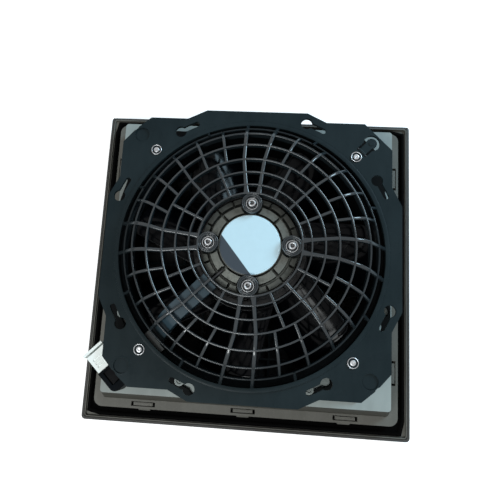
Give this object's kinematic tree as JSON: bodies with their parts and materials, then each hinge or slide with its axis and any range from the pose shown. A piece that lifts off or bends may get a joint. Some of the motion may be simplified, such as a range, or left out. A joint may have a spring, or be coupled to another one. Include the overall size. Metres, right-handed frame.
{
  "type": "cabinet filter fan",
  "caption": "Square cabinet filter fan with a louvred cover, snap-in housing, drafted fan tray, bayonet fan plate, ring guard and plug connection.",
  "frame": {"origin": "middle of the cover's front face, which is the base that the fan lies on", "axes": "+Z from the cover's front to the fan side (into the cabinet); +Y towards the cover's hinge; +X to the right in the picture"},
  "size_m": [0.323, 0.323, 0.156],
  "materials": {
    "cover_plastic": "fine matt grain",
    "housing_plastic": "matt",
    "tray_plastic": "matt",
    "filter_fleece": "dark loose fibre",
    "foam": "foamed, matt",
    "fan_plastic": "satin, fine grain",
    "duct_plastic": "satin",
    "holder_plastic": "satin",
    "black_plastic": "glossy",
    "white_plastic": "semi-gloss",
    "steel": "bright zinc plated",
    "cast_aluminium": "as cast, satin",
    "label_film": "satin film, bare",
    "board": "lacquered board",
    "lamination": "stacked sheet",
    "copper_wire": "enamelled copper wire",
    "can_paint": "satin black paint",
    "magnet": "pressed ferrite",
    "cable_sheath": "soft sheath"
  },
  "bodies": {
    "frame": {"housing": "housing_plastic", "support_grid": "fan_plastic", "filter_mat": "filter_fleece", "foam_seal": "foam", "panel_clips": "housing_plastic", "fan_tray": "tray_plastic", "tray_studs": "tray_plastic"},
    "cover": {"louvre_cover": "cover_plastic", "louvre_slats": "cover_plastic", "hinge_pins": "steel"},
    "fan_unit": {"base_flange": "fan_plastic", "fan_plate": "fan_plastic", "guard": "fan_plastic", "guard_shoulder": "fan_plastic", "tongue_pin": "steel", "rivets": "steel", "wall_ring": "fan_plastic", "cable_duct": "duct_plastic", "motor_lead": "cable_sheath", "plug_holder": "holder_plastic", "plug_socket": "black_plastic", "socket_pins": "steel", "motor_screws": "steel", "motor_washers": "steel", "stator_flange": "cast_aluminium", "label_disc": "label_film", "circuit_board": "board", "stator_core": "lamination", "windings": "copper_wire", "bearings": "steel"},
    "tongue": {"lock_tongue": "fan_plastic"},
    "rotor": {"shaft": "steel", "rotor_can": "can_paint", "magnets": "magnet", "impeller": "black_plastic", "impeller_screws": "steel"},
    "plug": {"plug_body": "white_plastic"},
    "lever": {"plug_lever": "white_plastic"}
  },
  "joints": [
    {"name": "fan_bayonet", "type": "hinge", "parent": "frame", "child": "fan_unit", "pos_m": [0, 0, 0.09], "axis": [0, 0, 1], "range_deg": [-7, 0]},
    {"name": "cover_hinge", "type": "hinge", "parent": "frame", "child": "cover", "pos_m": [0, 0.1589, 0.0279], "axis": [1, 0, 0], "range_deg": [0, 80]},
    {"name": "impeller_spin", "type": "hinge", "parent": "fan_unit", "child": "rotor", "pos_m": [0, 0, 0.1], "axis": [0, 0, 1], "continuous": true},
    {"name": "lock_tongue_flex", "type": "hinge", "parent": "fan_unit", "child": "tongue", "pos_m": [0.0935, 0.0935, 0.1215], "axis": [0.7071, -0.7071, 0], "range_deg": [0, 10], "stiffness_Nm_per_rad": 0.02},
    {"name": "plug_pull", "type": "slide", "parent": "fan_unit", "child": "plug", "axis": [-0.7071, 0.7071, 0], "range_m": [0, 0.014]},
    {"name": "plug_lever_lift", "type": "hinge", "parent": "plug", "child": "lever", "pos_m": [-0.12756, -0.09235, 0.098], "axis": [-0.7071, -0.7071, 0], "range_deg": [0, 30]}
  ]
}
